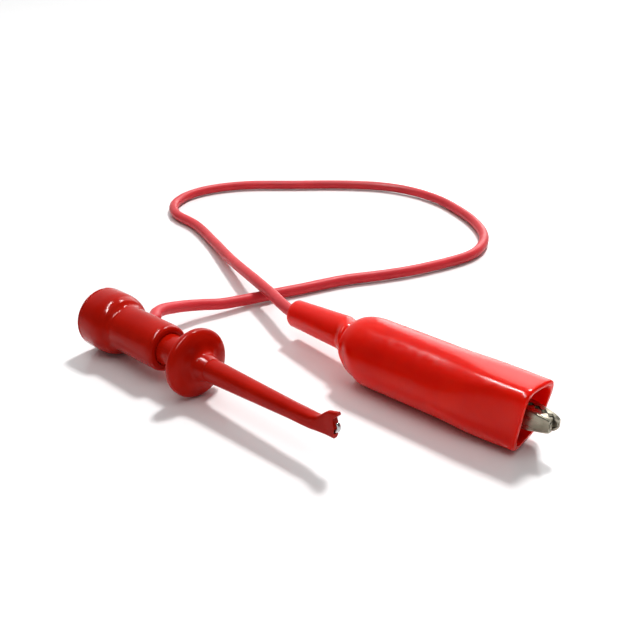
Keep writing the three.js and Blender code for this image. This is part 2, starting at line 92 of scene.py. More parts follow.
class Surface:
    """A Principled material with a few procedural layers over the piece's own coordinates."""

    def __init__(self, name, roughness, metallic=0.0):
        self.material = bpy.data.materials.new(name)
        self.material.use_nodes = True
        self.nodes = self.material.node_tree.nodes
        self.link = self.material.node_tree.links.new
        self.shader = self.nodes["Principled BSDF"]
        self.shader.inputs["Roughness"].default_value = roughness
        self.shader.inputs["Metallic"].default_value = metallic
        self.place = self.nodes.new("ShaderNodeTexCoord").outputs["Object"]
        self.bump = None

    def noise(self, size_mm, detail=3.0, stretch=(1, 1, 1)):
        mapping = self.nodes.new("ShaderNodeMapping")
        mapping.inputs["Scale"].default_value = stretch
        self.link(self.place, mapping.inputs["Vector"])
        texture = self.nodes.new("ShaderNodeTexNoise")
        texture.inputs["Scale"].default_value = noise_scale(size_mm)
        texture.inputs["Detail"].default_value = detail
        self.link(mapping.outputs["Vector"], texture.inputs["Vector"])
        return texture.outputs["Fac"]

    def colour(self, value, dark, light):
        ramp = self.nodes.new("ShaderNodeValToRGB")
        first, last = ramp.color_ramp.elements
        first.position, first.color = NOISE_LOW, (*dark, 1)
        last.position, last.color = NOISE_HIGH, (*light, 1)
        self.link(value, ramp.inputs["Fac"])
        self.link(ramp.outputs["Color"], self.shader.inputs["Base Color"])

    def roughness(self, value, low, high):
        spread = self.nodes.new("ShaderNodeMapRange")
        spread.inputs["From Min"].default_value = NOISE_LOW
        spread.inputs["From Max"].default_value = NOISE_HIGH
        spread.inputs["To Min"].default_value = low
        spread.inputs["To Max"].default_value = high
        self.link(value, spread.inputs["Value"])
        self.link(spread.outputs["Result"], self.shader.inputs["Roughness"])

    def relief(self, value, depth_mm):
        """A bump layer on top of those already there."""
        bump = self.nodes.new("ShaderNodeBump")
        bump.inputs["Strength"].default_value = 1
        bump.inputs["Distance"].default_value = depth_mm * MM
        self.link(value, bump.inputs["Height"])
        if self.bump is not None:
            self.link(self.bump.outputs["Normal"], bump.inputs["Normal"])
        self.link(bump.outputs["Normal"], self.shader.inputs["Normal"])
        self.bump = bump

    def gloss(self, level):
        """How strongly a bare surface reflects, 0.5 for ordinary plastic."""
        self.shader.inputs["Specular IOR Level"].default_value = level

    def subsurface(self, weight, radius_mm):
        self.shader.inputs["Subsurface Weight"].default_value = weight
        self.shader.inputs["Subsurface Radius"].default_value = SCATTER
        self.shader.inputs["Subsurface Scale"].default_value = radius_mm * MM


def hard_red():
    """Glossy moulded plastic, its polish a little uneven."""
    surface = Surface("hard_red", 0.14)
    surface.colour(surface.noise(5), (0.40, 0.005, 0.001), (0.49, 0.008, 0.002))
    surface.roughness(surface.noise(0.8), 0.10, 0.20)
    surface.relief(surface.noise(2.5, 2), 0.03)
    surface.relief(surface.noise(0.25), 0.002)
    surface.gloss(0.09)
    return surface.material


def boot_vinyl():
    """Soft dipped vinyl, slightly translucent, with shallow waves."""
    surface = Surface("boot_vinyl", 0.2)
    surface.colour(surface.noise(7), (0.76, 0.006, 0.001), (0.88, 0.010, 0.002))
    surface.roughness(surface.noise(1.2), 0.12, 0.22)
    surface.relief(surface.noise(6, 2, (0.5, 1, 1)), 0.05)
    surface.relief(surface.noise(0.5), 0.003)
    surface.gloss(0.14)
    surface.subsurface(0.8, 2.6)
    return surface.material


def cord_vinyl():
    """Satin wire insulation."""
    surface = Surface("cord_vinyl", 0.42)
    surface.colour(surface.noise(9), (0.56, 0.024, 0.032), (0.68, 0.034, 0.044))
    surface.roughness(surface.noise(1.1), 0.34, 0.5)
    surface.relief(surface.noise(3.2, 2), 0.06)
    surface.relief(surface.noise(0.22), 0.004)
    surface.gloss(0.2)
    surface.subsurface(0.1, 0.5)
    return surface.material


def metal(name, dark, light, roughness):
    """A metal drawn along X, with faint scratches and a slightly uneven sheet."""
    surface = Surface(name, roughness, 1.0)
    surface.colour(surface.noise(2.4, 2), dark, light)
    surface.roughness(surface.noise(0.9, 2, (0.3, 1, 1)), roughness * 0.85, roughness * 1.25)
    surface.relief(surface.noise(0.3, 2, (0.15, 1, 1)), 0.001)
    surface.relief(surface.noise(3, 1), 0.01)
    return surface.material


MATERIALS = {
    "hard_red": hard_red(),
    "boot_vinyl": boot_vinyl(),
    "cord_vinyl": cord_vinyl(),
    "nickel": metal("nickel", (0.24, 0.22, 0.16), (0.38, 0.35, 0.28), 0.26),
    "spring_steel": metal("spring_steel", (0.36, 0.36, 0.37), (0.55, 0.55, 0.56), 0.22),
    "brass": metal("brass", (0.50, 0.35, 0.13), (0.68, 0.52, 0.24), 0.28),
    "copper": metal("copper", (0.58, 0.26, 0.13), (0.78, 0.42, 0.26), 0.3),
}

# ---- places of the two ends ----------------------------------------------------------------------
# The hook's axis runs forward from its thumb face. The clip's runs along X through the jaw's pivot.
KNOB_REAR = -27.6
PIVOT_X = -15.0

thumb_face = next(m for m in frame["record"]["mounts"] if m["name"] == "thumb_face")
hook_forward = -Vector(thumb_face["axis"])
hook_front = Vector(thumb_face["pos_m"]) - hook_forward * KNOB_REAR * MM
hook_space = (
    Matrix.Translation(hook_front)
    @ hook_forward.to_track_quat("X", "Z").to_matrix().to_4x4()
    @ Matrix.Scale(MM, 4)
)
jaw_joint = next(j for j in frame["joints"] if j["name"] == "jaw_open")
clip_front = Vector(jaw_joint["pos_m"]) - Vector((PIVOT_X * MM, 0, 0))
clip_space = Matrix.Translation(clip_front) @ Matrix.Scale(MM, 4)


# ---- mesh helpers --------------------------------------------------------------------------------
MERGE = 1e-4  # corners closer than this, in millimetres, become one
SHARP = 32  # edges that turn by more degrees than this stay hard
CORNER_SHARE = 0.45  # the most of an edge that one rounded corner takes
ARC_STEPS = 16


def mesh_object(name, vertices, faces, sharp=SHARP):
    """A mesh in local millimetres with shared corners merged and faces turned outwards."""
    mesh = bpy.data.meshes.new(name)
    mesh.from_pydata([tuple(v) for v in vertices], [], faces)
    shape = bmesh.new()
    shape.from_mesh(mesh)
    bmesh.ops.remove_doubles(shape, verts=shape.verts, dist=MERGE)
    bmesh.ops.recalc_face_normals(shape, faces=shape.faces)
    shape.to_mesh(mesh)
    shape.free()
    mesh.shade_smooth()
    mesh.set_sharp_from_angle(angle=math.radians(sharp))
    piece = bpy.data.objects.new(name, mesh)
    bpy.context.collection.objects.link(piece)
    return piece


def loft(rings, wrap=False):
    """Vertices and faces of a skin over equal rings, wrapped round or capped at both ends."""
    count = len(rings[0])
    vertices = [point for ring in rings for point in ring]
    faces = []
    last = len(rings) if wrap else len(rings) - 1
    for i in range(last):
        here, there = i * count, ((i + 1) % len(rings)) * count
        for k in range(count):
            after = (k + 1) % count
            faces.append((here + k, here + after, there + after, there + k))
    if not wrap:
        faces.append(tuple(range(count)))
        faces.append(tuple(range(len(vertices) - count, len(vertices))))
    return vertices, faces


def joined(*shapes):
    """Several (vertices, faces) shapes as one."""
    vertices, faces = [], []
    for points, sides in shapes:
        start = len(vertices)
        vertices.extend(points)
        faces.extend(tuple(start + k for k in side) for side in sides)
    return vertices, faces


def softened(outline, radius, steps=3):
    """A closed [along, radius] outline with its corners rounded, except on the axis."""
    result = []
    for i, corner in enumerate(outline):
        here = Vector(corner)
        back = Vector(outline[i - 1]) - here
        on = Vector(outline[(i + 1) % len(outline)]) - here
        size = min(radius, back.length * CORNER_SHARE, on.length * CORNER_SHARE)
        if corner[1] < 1e-6 or back.length < 1e-6 or on.length < 1e-6:
            result.append(tuple(here))
            continue
        start, end = here + back.normalized() * size, here + on.normalized() * size
        for k in range(steps + 1):
            t = k / steps
            result.append(tuple((1 - t) ** 2 * start + 2 * t * (1 - t) * here + t * t * end))
    return result


def turned(outline, sides=96, soften=0.12):
    """A closed [along, radius] outline turned about the X axis."""
    outline = softened(outline, soften)
    rings = []
    for i in range(sides):
        angle = 2 * math.pi * i / sides
        rings.append([(x, r * math.cos(angle), r * math.sin(angle)) for x, r in outline])
    return loft(rings, wrap=True)


def smooth_path(points, per_span):
    """A centripetal Catmull-Rom curve through the points."""
    points = [Vector(p) for p in points]
    ends = [2 * points[0] - points[1], *points, 2 * points[-1] - points[-2]]
    path = []
    for i in range(1, len(ends) - 2):
        p0, p1, p2, p3 = ends[i - 1:i + 3]
        t1 = (p1 - p0).length ** 0.5
        t2 = t1 + (p2 - p1).length ** 0.5
        t3 = t2 + (p3 - p2).length ** 0.5
        for k in range(per_span):
            t = t1 + (t2 - t1) * k / per_span
            a1 = p0 * ((t1 - t) / t1) + p1 * (t / t1)
            a2 = p1 * ((t2 - t) / (t2 - t1)) + p2 * ((t - t1) / (t2 - t1))
            a3 = p2 * ((t3 - t) / (t3 - t2)) + p3 * ((t - t2) / (t3 - t2))
            b1 = a1 * ((t2 - t) / t2) + a2 * (t / t2)
            b2 = a2 * ((t3 - t) / (t3 - t1)) + a3 * ((t - t1) / (t3 - t1))
            path.append(b1 * ((t2 - t) / (t2 - t1)) + b2 * ((t - t1) / (t2 - t1)))
    path.append(points[-1])
    return path


def wire(path, radius, sides=16):
    """A round wire with domed ends along a path, carried without twist."""
    path = [Vector(p) for p in path]
    along = [(b - a).normalized() for a, b in zip(path, path[1:])]
    along.append(along[-1])
    across = along[0].orthogonal().normalized()
    rings = []
    for i, point in enumerate(path):
        way = (along[max(i - 1, 0)] + along[i]).normalized()
        across = (across - way * across.dot(way)).normalized()
        up = way.cross(across)
        ring = []
        for k in range(sides):
            angle = 2 * math.pi * k / sides
            ring.append(point + radius * (math.cos(angle) * across + math.sin(angle) * up))
        rings.append(ring)
    for index, way in ((0, -along[0]), (-1, along[-1])):
        centre = path[index]
        domes = []
        for share in (0.35, 0.65, 0.85):
            size, tip = math.sqrt(1 - share * share), centre + way * radius * share
            domes.append([tip + (p - centre) * size for p in rings[index]])
        rings = domes[::-1] + rings if index == 0 else rings + domes
    return loft(rings)


def helix(start, end, radius, turns, per_turn=24):
    """Points of a helix about the X axis."""
    count = round(turns * per_turn)
    points = []
    for i in range(count + 1):
        angle = 2 * math.pi * turns * i / count
        x = start + (end - start) * i / count
        points.append((x, radius * math.cos(angle), radius * math.sin(angle)))
    return points


def cut(piece, *shapes, sharp=SHARP):
    """Takes closed shapes away from a piece."""
    for vertices, faces in shapes:
        tool = mesh_object("cutter", vertices, faces)
        modifier = piece.modifiers.new("cut", "BOOLEAN")
        modifier.operation = "DIFFERENCE"
        modifier.solver = "EXACT"
        modifier.object = tool
        bpy.context.view_layer.update()
        evaluated = piece.evaluated_get(bpy.context.evaluated_depsgraph_get())
        mesh = bpy.data.meshes.new_from_object(evaluated)
        piece.modifiers.clear()
        piece.data = mesh
        bpy.data.objects.remove(tool)
    piece.data.shade_smooth()
    piece.data.set_sharp_from_angle(angle=math.radians(sharp))


def rod(centre, axis, radius, length, sides=48):
    """A plain closed rod, used to cut holes."""
    turn = Vector((0, 0, 1)).rotation_difference(Vector(axis)).to_matrix()
    rings = []
    for end in (-length / 2, length / 2):
        ring = []
        for k in range(sides):
            angle = 2 * math.pi * k / sides
            point = Vector((radius * math.cos(angle), radius * math.sin(angle), end))
            ring.append(Vector(centre) + turn @ point)
        rings.append(ring)
    return loft(rings)


def ease(value, start, end):
    """0 before start, 1 after end, smooth between."""
    t = min(max((value - start) / (end - start), 0), 1)
    return t * t * (3 - 2 * t)


def between(x, stations):
    """The value at x along a list of (x, value) stations in falling or rising order."""
    ordered = sorted(stations)
    if x <= ordered[0][0]:
        return ordered[0][1]
    for (x0, v0), (x1, v1) in zip(ordered, ordered[1:]):
        if x <= x1:
            return v0 + (v1 - v0) * (x - x0) / (x1 - x0)
    return ordered[-1][1]


def finish_piece(piece, space, slot, body, *nodes):
    """Sets a piece in the frame, on its body, in its material, in place of its CAD nodes."""
    piece.data.transform(space)
    piece.data.materials.clear()
    piece.data.materials.append(MATERIALS[slot])
    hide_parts(*nodes)
    if body:
        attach(piece, body)


# ---- cord ----------------------------------------------------------------------------------------
CORD_DIAMETER = 0.0022
CORD_ROUTE = [
    (-0.03074, -0.00799, 0.00565),
    (-0.03067, -0.00539, 0.00565),
    (-0.03240, -0.00360, 0.00550),
    (-0.03360, -0.00120, 0.00510),
    (-0.03420, 0.00160, 0.00440),
    (-0.03440, 0.00480, 0.00360),
    (-0.03390, 0.00840, 0.00280),
    (-0.03280, 0.01200, 0.00210),
    (-0.03160, 0.01710, 0.00160),
    (-0.03030, 0.02230, 0.00130),
    (-0.02800, 0.02870, 0.00120),
    (-0.02450, 0.03820, 0.00120),
    (-0.02030, 0.04570, 0.00120),
    (-0.01690, 0.05320, 0.00120),
    (-0.01360, 0.06620, 0.00120),
    (-0.01470, 0.07270, 0.00120),
    (-0.01820, 0.07900, 0.00120),
    (-0.02410, 0.08460, 0.00120),
    (-0.03180, 0.08920, 0.00120),
    (-0.04060, 0.09280, 0.00120),
    (-0.04940, 0.09390, 0.00120),
    (-0.05760, 0.09220, 0.00120),
    (-0.06640, 0.08660, 0.00120),
    (-0.07640, 0.07720, 0.00120),
    (-0.08580, 0.06790, 0.00120),
    (-0.08970, 0.06000, 0.00120),
    (-0.09020, 0.05260, 0.00120),
    (-0.08720, 0.04560, 0.00120),
    (-0.08140, 0.04120, 0.00120),
    (-0.07170, 0.03920, 0.00120),
    (-0.06120, 0.03490, 0.00130),
    (-0.04700, 0.02790, 0.00240),
    (-0.03330, 0.02150, 0.00395),
    (-0.02500, 0.01810, 0.00435),
    (-0.01920, 0.01550, 0.00465),
    (-0.01590, 0.01435, 0.00485),
    (-0.01180, 0.01380, 0.00525),
    (-0.00680, 0.01305, 0.00570),
    (-0.00230, 0.01220, 0.00600),
    (-0.00016, 0.01130, 0.00580),
]


def make_cord():
    path = smooth_path(CORD_ROUTE, 6)
    curve = bpy.data.curves.new("cord", "CURVE")
    curve.dimensions = "3D"
    spline = curve.splines.new("POLY")
    spline.points.add(len(path) - 1)
    for point, place in zip(spline.points, path):
        point.co = (*place, 1)
    curve.bevel_depth = CORD_DIAMETER / 2
    curve.bevel_resolution = 6
    curve.use_fill_caps = True
    curve.materials.append(MATERIALS["cord_vinyl"])
    cord = bpy.data.objects.new("cord", curve)
    bpy.context.collection.objects.link(cord)
    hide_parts("lead_cord")
    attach(cord, "lead")


make_cord()

# ---- mini-hook -----------------------------------------------------------------------------------
# Lengths run along the hook's axis from the flange's front face, at 0. Rear ends are negative.
KNOB_RADIUS = 5.4
KNOB_FRONT = -20.8
CAP_THICK = 1.0
BARREL_RADIUS = 4.0
BARREL_FRONT = -8.2
BORE_RADIUS = 3.0
PORT_X = -19.4
PORT_RADIUS = 1.4
PORT_DEPTH = 3.4
SPIGOT_FRONT = -23.6
SPIGOT_RADIUS = 2.7
SOCKET_RADIUS = 1.15
FLANGE_RADIUS = 5.75
FLANGE_THICK = 2.8
GUIDE_END = -12.2
GUIDE_SHOULDER = -10.2
GUIDE_END_RADIUS = 1.4
GUIDE_RADIUS = 2.7
HUB_RADIUS = 2.35
HUB_LENGTH = 2.5
NOSE_LENGTH = 29.8
NOSE_BASE_RADIUS = 1.95
NOSE_TIP_RADIUS = 1.15
NOSE_BORE_RADIUS = 0.45
NOSE_TAPER_END = 26.0
NOSE_LIFT = 0.25  # how far the nose bows up by its end
NOSE_BOW = 1.3  # above 1, the bow grows towards the end
TAIL_RISE = 2.2  # how far the fish tail's upper prong would stand above the nose, uncut
TAIL_FALL = 1.15  # how far its lower prong reaches below the nose's middle
TAIL_HALF_WIDTH = 0.56
TAIL_NOTCH = [(0, 2.7), (-0.75, 1.9), (-0.5, 0.7), (-0.7, -1.5), (1, -1.5), (1, 2.7)]
ROUND, BOXY = 2.2, 3.6  # powers of the rounded-square sections along the nose
HOOK_WIRE_RADIUS = 0.28
HOOK_WIRE_REAR = -23.0
HOOK_CURL_RADIUS = 0.8
HOOK_CURL_DEGREES = 130
HOOK_CURL_BACK = 0.8  # how far behind the nose's end the curl starts
FERRULE_RADIUS = 0.85
SEAT_RADIUS = 2.5
SEAT_FRONT = -17.6
SEAT_THICK = 0.6
SPRING_RADIUS = 2.0
SPRING_WIRE_RADIUS = 0.18
SPRING_TURNS = 4


def plunger_shell():
    """Thumb knob and barrel in one moulding, with the cord's port in the barrel's far side."""
    rear = KNOB_REAR + CAP_THICK + 0.05
    piece = mesh_object("plunger_knob", *turned([
        (rear, BORE_RADIUS),
        (rear, KNOB_RADIUS - 0.12),
        (rear + 0.15, KNOB_RADIUS),
        (KNOB_FRONT - 2.4, KNOB_RADIUS + 0.02),
        (KNOB_FRONT - 0.9, KNOB_RADIUS - 0.16),
        (KNOB_FRONT + 0.1, KNOB_RADIUS - 0.6),
        (KNOB_FRONT + 0.6, BARREL_RADIUS + 0.3),
        (KNOB_FRONT + 1.2, BARREL_RADIUS),
        (BARREL_FRONT - 0.9, BARREL_RADIUS),
        (BARREL_FRONT - 0.2, BARREL_RADIUS - 0.25),
        (BARREL_FRONT, BARREL_RADIUS - 0.8),
        (BARREL_FRONT, GUIDE_RADIUS + 0.1),
        (BARREL_FRONT - 0.9, GUIDE_RADIUS + 0.1),
        (BARREL_FRONT - 1.1, BORE_RADIUS),
    ], soften=0.45))
    cut(piece, rod((PORT_X, BARREL_RADIUS, 0), (0, 1, 0), PORT_RADIUS, PORT_DEPTH))
    finish_piece(piece, hook_space, "hard_red", "lead", "plunger_shell")


def plunger_cap():
    """Rear cap of the knob, with a shallow dish in its thumb face."""
    face = KNOB_REAR + CAP_THICK
    piece = mesh_object("plunger_cap_disc", *turned([
        (KNOB_REAR + 0.25, 0),
        (KNOB_REAR + 0.2, KNOB_RADIUS - 2.4),
        (KNOB_REAR, KNOB_RADIUS - 1.7),
        (KNOB_REAR, KNOB_RADIUS - 0.9),
        (KNOB_REAR + 0.3, KNOB_RADIUS - 0.2),
        (face - 0.25, KNOB_RADIUS),
        (face, KNOB_RADIUS - 0.12),
        (face, SPIGOT_RADIUS),
        (SPIGOT_FRONT, SPIGOT_RADIUS),
        (SPIGOT_FRONT, SOCKET_RADIUS),
        (KNOB_REAR + 2, SOCKET_RADIUS),
        (KNOB_REAR + 2, 0),
    ], soften=0.3))
    finish_piece(piece, hook_space, "hard_red", "lead", "plunger_cap")


def nose_section(x):
    """Half width, rise above and drop below the middle, and power of the nose's section at x."""
    radius = between(x, [(0, NOSE_BASE_RADIUS), (NOSE_TAPER_END, NOSE_TIP_RADIUS)])
    # The upper prong rises in a steep step and then a gentle one.
    above = radius + TAIL_RISE * (0.8 * ease(x, 25.4, 28.4) + 0.2 * ease(x, 28, 30.4))
    below = radius + (TAIL_FALL - NOSE_TIP_RADIUS) * ease(x, 24, 29)
    half = radius + (TAIL_HALF_WIDTH - NOSE_TIP_RADIUS) * ease(x, 24, 28)
    return half, above, below, ROUND + (BOXY - ROUND) * ease(x, 20, 28)


def nose_lift(x):
    """How far the nose's middle has bowed up at x."""
    return NOSE_LIFT * max(x / NOSE_LENGTH, 0) ** NOSE_BOW


def nose_ring(x, sides=48):
    width, above, below, power = nose_section(x)
    lift = nose_lift(x)
    ring = []
    for k in range(sides):
        angle = 2 * math.pi * k / sides
        c, s = math.cos(angle), math.sin(angle)
        reach = above if s > 0 else below
        size = (abs(c) ** power + abs(s) ** power) ** (-1 / power)
        ring.append((x, width * size * c, lift + reach * size * s))
    return ring


def nose_body():
    """Guide tube, finger flange, tapering nose and notched fish tail in one moulding."""
    tube = turned([
        (GUIDE_END, 0),
        (GUIDE_END, GUIDE_END_RADIUS),
        (GUIDE_SHOULDER, GUIDE_END_RADIUS),
        (GUIDE_SHOULDER, GUIDE_RADIUS + 0.05),
        (-FLANGE_THICK - 0.2, GUIDE_RADIUS + 0.05),
        (-FLANGE_THICK - 0.02, GUIDE_RADIUS + 0.3),
        (-FLANGE_THICK, FLANGE_RADIUS - 1.5),
        (-FLANGE_THICK + 0.35, FLANGE_RADIUS - 0.5),
        (-FLANGE_THICK / 2 - 0.45, FLANGE_RADIUS),
        (-FLANGE_THICK / 2 + 0.45, FLANGE_RADIUS),
        (-0.45, FLANGE_RADIUS - 0.45),
        (0, FLANGE_RADIUS - 1.4),
        (0.2, HUB_RADIUS + 0.9),
        (0.6, HUB_RADIUS),
        (HUB_LENGTH, HUB_RADIUS - 0.35),
        (HUB_LENGTH + 0.2, NOSE_BASE_RADIUS - 0.1),
        (HUB_LENGTH + 0.2, 0),
    ], soften=0.5)
    tail = [NOSE_TAPER_END + 0.2 * i for i in range(17)]
    stations = [0, HUB_LENGTH, *range(3, 26, 2), *tail, NOSE_LENGTH]
    nose = loft([nose_ring(x) for x in stations])
    piece = mesh_object("nose", *nose, sharp=40)
    rear = mesh_object("nose_flange", *tube)
    notch = loft([[(NOSE_LENGTH + x, y, NOSE_LIFT + z) for x, z in TAIL_NOTCH] for y in (-3, 3)])
    bore = wire([(x, 0, nose_lift(x)) for x in range(-14, 33, 2)], NOSE_BORE_RADIUS, 24)
    cut(piece, bore, notch, sharp=40)
    cut(rear, bore)
    finish_piece(rear, hook_space, "hard_red", "nose", "nose_body")
    finish_piece(piece, hook_space, "hard_red", "nose", "nose_body")


def hook_wire():
    """A straight wire whose end turns up to catch a component lead."""
    start = NOSE_LENGTH - HOOK_CURL_BACK
    path = [(x, 0, nose_lift(x)) for x in (HOOK_WIRE_REAR, -10, *range(0, 28, 2))]
    for i in range(ARC_STEPS + 1):
        angle = math.radians(HOOK_CURL_DEGREES * i / ARC_STEPS)
        along, up = HOOK_CURL_RADIUS * math.sin(angle), HOOK_CURL_RADIUS * (1 - math.cos(angle))
        path.append((start + along, 0, nose_lift(start) + up))
    piece = mesh_object("hook_wire_bent", *wire(path, HOOK_WIRE_RADIUS), sharp=50)
    finish_piece(piece, hook_space, "spring_steel", "lead", "hook_wire")


def hook_ferrule():
    """Ferrule held in the cap's socket, with the flange that the spring pushes on."""
    piece = mesh_object("ferrule", *turned([
        (KNOB_REAR + 2.3, 0),
        (KNOB_REAR + 2.3, FERRULE_RADIUS),
        (SEAT_FRONT - SEAT_THICK, FERRULE_RADIUS),
        (SEAT_FRONT - SEAT_THICK, SEAT_RADIUS),
        (SEAT_FRONT, SEAT_RADIUS),
        (SEAT_FRONT, HOOK_WIRE_RADIUS + 0.05),
        (HOOK_WIRE_REAR - 0.3, HOOK_WIRE_RADIUS + 0.05),
        (HOOK_WIRE_REAR - 0.3, 0),
    ], 48))
    finish_piece(piece, hook_space, "brass", "lead", "hook_ferrule")


def plunger_spring():
    """Compression spring between the ferrule's flange and the guide tube's shoulder."""
    rest = SEAT_FRONT + SPRING_WIRE_RADIUS + 0.05
    far = GUIDE_SHOULDER - SPRING_WIRE_RADIUS - 0.1
    path = [*helix(rest, rest + 0.4, SPRING_RADIUS, 1)[:-1],
            *helix(rest + 0.4, far - 0.4, SPRING_RADIUS, SPRING_TURNS)[:-1],
            *helix(far - 0.4, far, SPRING_RADIUS, 1)]
    piece = mesh_object("plunger_spring_coil", *wire(path, SPRING_WIRE_RADIUS, 10), sharp=50)
    finish_piece(piece, hook_space, "spring_steel", "lead", "plunger_spring")
    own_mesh(piece)


STRAND_TWIST = 0.5  # radians per millimetre
STRAND_STEPS = 12
RING_OF_STRANDS = 6  # and one more in the middle


def strands(start, end, bundle_radius, strand_radius):
    """Seven bare strands twisted together between two points in local millimetres."""
    start, end = Vector(start), Vector(end)
    way = (end - start).normalized()
    across = way.orthogonal().normalized()
    up = way.cross(across)
    length = (end - start).length
    shapes = []
    for k in range(RING_OF_STRANDS + 1):
        reach = 0 if k == RING_OF_STRANDS else bundle_radius - strand_radius
        path = []
        for i in range(STRAND_STEPS + 1):
            along = length * i / STRAND_STEPS
            angle = 2 * math.pi * k / RING_OF_STRANDS + along * STRAND_TWIST
            side = math.cos(angle) * across + math.sin(angle) * up
            path.append(start + way * along + reach * side)
        shapes.append(wire(path, strand_radius, 10))
    return joined(*shapes)


def hook_end_conductor():
    shape = strands((PORT_X, FERRULE_RADIUS + 0.2, 0), (PORT_X, 2.5, 0), 0.55, 0.18)
    piece = mesh_object("hook_end_strands", *shape, sharp=50)
    finish_piece(piece, hook_space, "copper", "lead", "hook_end_conductor")


plunger_shell()
plunger_cap()
nose_body()
hook_wire()
hook_ferrule()
plunger_spring()
hook_end_conductor()

# ---- alligator clip ------------------------------------------------------------------------------
# Lengths run along the boot's axis from the middle of its mouth, which is 0, the jaws ahead of it.
SHEET = 0.42
JAW_TIP = 3.9
NEAR_TIP_BACK = 0.45  # how much shorter the near jaw is
HANDLE_END = -30.5
TOOTH_PITCH = 1.1
TOOTH_DEPTH = 0.45
TOOTH_COUNT = 8
EDGE = 0.12  # half the gap between closed teeth
LOBE_RADIUS = 1.7
PIN_RADIUS = 0.6
FIXED_LUG_HALF = 2.45
MOVING_LUG_HALF = 1.65
HANDLE_HALF = 1.7
JAW_NOSE_HALF = 0.62  # half width of the wall that closes a jaw's tip
CRIMP_FRONT = -32.3
CRIMP_REAR = -34.9
CRIMP_OUTER = 1.45
CRIMP_INNER = 0.9
TONGUE_REAR = 1.6  # how far the tongue's back lies from the middle, at the crimp
TONGUE_HALF = 1.0
TONGUE_BACK_HALF = 0.85
JAW_BACK = [(JAW_TIP, 1.1), (0, 1.55), (-7, 2.5), (-13, 3.2), (-22, 3.9), (HANDLE_END, 4.1)]


def jaw_stations():
    """Places along a jaw, as (x, edge): teeth in front, a lobe at the pivot, a handle behind."""
    toothed = JAW_TIP - TOOTH_COUNT * TOOTH_PITCH
    stations = [(HANDLE_END, 2.6), (PIVOT_X - 8, 2.4), (PIVOT_X - 4, 2.0),
                (PIVOT_X - LOBE_RADIUS - 0.5, 1.0)]
    for i in range(ARC_STEPS + 1):
        angle = math.pi + math.pi * i / ARC_STEPS
        stations.append((PIVOT_X + LOBE_RADIUS * math.cos(angle), LOBE_RADIUS * math.sin(angle)))
    stations += [(PIVOT_X + LOBE_RADIUS + 0.5, 0.5), (toothed - 2, 0.5), (toothed - 0.2, 0.5)]
    for i in range(TOOTH_COUNT):
        x = toothed + i * TOOTH_PITCH
        stations += [(x, EDGE + TOOTH_DEPTH),
                     (x + TOOTH_PITCH * 0.45, EDGE), (x + TOOTH_PITCH * 0.6, EDGE)]
    stations.append((JAW_TIP - 0.02, EDGE + TOOTH_DEPTH / 2))
    return stations


def channel_ring(x, edge, lug_half, side):
    """The C section of a bent-sheet jaw at x, its bends rounded, on the +Y (1) or -Y (-1) side."""
    halves = [(JAW_TIP, 0.75), (JAW_TIP - 0.3, 1.05), (JAW_TIP - 1, 1.3), (0, 1.85),
              (PIVOT_X + 3, lug_half), (PIVOT_X - 3, lug_half), (HANDLE_END, HANDLE_HALF)]
    half, back = between(x, halves), between(x, JAW_BACK)
    bend = between(x, [(JAW_TIP, 0.35), (0, 0.5), (-7, 0.7)])
    inner_bend = max(bend - SHEET, 0.08)
    outer, inner = [(edge, half)], [(edge, half - SHEET)]
    for i in range(7):
        angle = math.pi / 2 * i / 6
        outer.append((back - bend + bend * math.sin(angle), half - bend + bend * math.cos(angle)))
        inner.append((back - SHEET - inner_bend + inner_bend * math.sin(angle),
                      half - SHEET - inner_bend + inner_bend * math.cos(angle)))
    outer += [(y, -z) for y, z in outer[::-1]]
    inner += [(y, -z) for y, z in inner[::-1]]
    return [(x, side * y, z) for y, z in outer + inner[::-1]]


def jaw_channel(lug_half, side, short=0.0):
    """A whole jaw, its tip drawn back by short."""
    return loft([
        channel_ring(x, edge, lug_half, side) for x, edge in jaw_stations() if x < JAW_TIP - short
    ])


def jaw_nose(side, short=0.0):
    """The wall that closes a jaw's tip, set just inside its channel."""
    rings = []
    for back, share in ((0.9, 1.0), (0.2, 1.0), (0.08, 0.85)):
        x = JAW_TIP - short - back
        half = JAW_NOSE_HALF * share
        low, high, bevel = EDGE + 0.25, 0.95, 0.2
        ring = [(low, -half), (high - bevel, -half), (high, -half + bevel),
                (high, half - bevel), (high - bevel, half), (low, half)]
        rings.append([(x, side * y, z) for y, z in ring])
    return loft(rings)


def pin_hole(lug_half):
    return rod((PIVOT_X, 0, 0), (0, 0, 1), PIN_RADIUS + 0.08, 2 * lug_half + 3, 32)


def fixed_jaw():
    """Far jaw, whose handle runs on into a tongue and a barrel crimped on the conductor."""
    back = JAW_BACK[-1][1]
    bend_line = [(HANDLE_END + 0.6, back), (HANDLE_END, back),
                 (CRIMP_FRONT + 0.2, TONGUE_REAR), (CRIMP_REAR, TONGUE_REAR)]
    tongue = [[(x, y - SHEET, -TONGUE_HALF), (x, y, -TONGUE_BACK_HALF),
               (x, y, TONGUE_BACK_HALF), (x, y - SHEET, TONGUE_HALF)] for x, y in bend_line]
    crimp = turned([
        (CRIMP_REAR, CRIMP_INNER),
        (CRIMP_REAR, CRIMP_OUTER),
        (CRIMP_REAR + 1, CRIMP_OUTER),
        (CRIMP_REAR + 1.4, CRIMP_OUTER - 0.2),
        (CRIMP_FRONT - 1, CRIMP_OUTER),
        (CRIMP_FRONT, CRIMP_OUTER),
        (CRIMP_FRONT, CRIMP_INNER),
    ], 48)
    channel = mesh_object("far_jaw", *jaw_channel(FIXED_LUG_HALF, 1), sharp=40)
    cut(channel, pin_hole(FIXED_LUG_HALF), sharp=40)
    extras = mesh_object("far_jaw_ends", *joined(jaw_nose(1), loft(tongue), crimp), sharp=40)
    for piece in (channel, extras):
        finish_piece(piece, clip_space, "nickel", "lead", "fixed_jaw")


